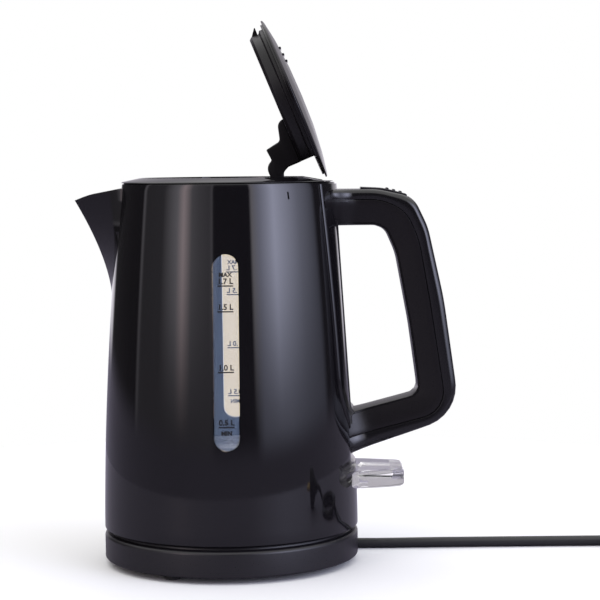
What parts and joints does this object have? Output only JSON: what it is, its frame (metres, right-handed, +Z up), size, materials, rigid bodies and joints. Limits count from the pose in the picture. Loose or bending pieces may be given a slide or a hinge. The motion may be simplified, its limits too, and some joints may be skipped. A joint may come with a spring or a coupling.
{
  "type": "electric kettle",
  "caption": "Tall cordless electric kettle on a round power base, with a hinged lid, side water gauge, loop handle with lid button, clear switch paddle and mains lead.",
  "frame": {"origin": "on the table, at the middle of the box around the kettle without its lead, so the jug's own axis is at X = -22.25 mm", "axes": "+X from the spout to the handle, +Y across the jug, away from a viewer who has the handle on the right, +Z up"},
  "size_m": [0.4329, 0.2148, 0.3298],
  "materials": {
    "gloss_black": "glossy black moulded plastic",
    "satin_black": "satin black moulded plastic",
    "lid_black": "satin brown-black moulded plastic",
    "inner_white": "off-white plastic",
    "clear": "clear polished plastic",
    "paddle_clear": "smoky clear plastic",
    "steel": "brushed",
    "brass": "plain",
    "rubber": "matte",
    "silicone": "matte grey silicone",
    "cord_black": "satin black cord sheath"
  },
  "bodies": {
    "power_base": {"base_housing": "satin_black", "base_bottom_cover": "satin_black", "base_screw_1": "steel", "base_screw_2": "steel", "base_screw_3": "steel", "rubber_foot_1": "rubber", "rubber_foot_2": "rubber", "rubber_foot_3": "rubber", "cord_strain_relief": "rubber", "power_cord": "cord_black", "cord_coil": "cord_black", "cord_tie": "rubber", "plug_lead": "cord_black", "mains_plug_body": "cord_black", "plug_pin_left": "brass", "plug_pin_right": "brass", "connector_socket": "satin_black", "live_contact": "brass", "neutral_contact": "brass", "earth_contact": "brass"},
    "connector_plug": {"jug_connector": "satin_black", "earth_pin": "brass"},
    "jug": {"jug_shell": "gloss_black", "spout_beak": "satin_black", "gauge_window_near": "clear", "gauge_window_far": "clear", "top_collar": "gloss_black", "heating_plate": "steel", "plate_seal": "silicone", "heating_element": "steel", "steam_tube": "inner_white", "thermostat_control": "satin_black", "spout_filter": "inner_white", "jug_bottom_cover": "satin_black", "jug_screw_1": "steel", "jug_screw_2": "steel", "jug_screw_3": "steel", "handle_frame": "satin_black", "handle_cover": "gloss_black", "button_pin": "steel", "button_spring": "steel", "handle_screw_1": "steel", "handle_screw_2": "steel", "switch_pin": "steel", "switch_bracket": "satin_black", "bimetal_disc": "brass", "indicator_lamp": "clear", "hinge_pin": "steel", "lid_spring": "steel"},
    "release_button": {"release_button": "satin_black"},
    "release_slider": {"release_slider": "satin_black"},
    "switch_paddle": {"switch_paddle": "paddle_clear"},
    "lid": {"lid_top_cover": "lid_black", "lid_inner_cup": "lid_black", "lid_hinge_arm": "lid_black", "latch_spring": "steel"},
    "lid_latch": {"lid_latch": "lid_black"}
  },
  "joints": [
    {"name": "jug_lift", "type": "slide", "parent": "power_base", "child": "connector_plug", "axis": [0, 0, 1], "range_m": [0, 0.12]},
    {"name": "jug_swivel", "type": "hinge", "parent": "connector_plug", "child": "jug", "pos_m": [-0.02225, 0, 0.03], "axis": [0, 0, 1], "continuous": true},
    {"name": "lid_hinge", "type": "hinge", "parent": "jug", "child": "lid", "pos_m": [0.03405, 0, 0.2277], "axis": [0, 1, 0], "range_deg": [-67.7, 0], "stiffness_Nm_per_rad": 0.02, "springref_deg": 171.89},
    {"name": "latch_slide", "type": "slide", "parent": "lid", "child": "lid_latch", "axis": [0.3795, 0, -0.9252], "range_m": [0, 0.004], "stiffness_N_per_m": 120, "springref_m": -0.003, "deforming": ["latch_spring"]},
    {"name": "button_press", "type": "hinge", "parent": "jug", "child": "release_button", "pos_m": [0.06125, 0, 0.225], "axis": [0, 1, 0], "range_deg": [0, 7], "stiffness_Nm_per_rad": 0.1, "springref_deg": -6.88, "deforming": ["button_spring"]},
    {"name": "release_slide", "type": "slide", "parent": "jug", "child": "release_slider", "axis": [-1, 0, 0], "range_m": [0, 0.00125]},
    {"name": "switch_rock", "type": "hinge", "parent": "jug", "child": "switch_paddle", "pos_m": [0.04775, 0, 0.0486], "axis": [0, 1, 0], "range_deg": [0, 10]}
  ],
  "couplings": [
    {"joint": "release_slide", "follows": "button_press", "m_per_rad": 0.0095}
  ]
}
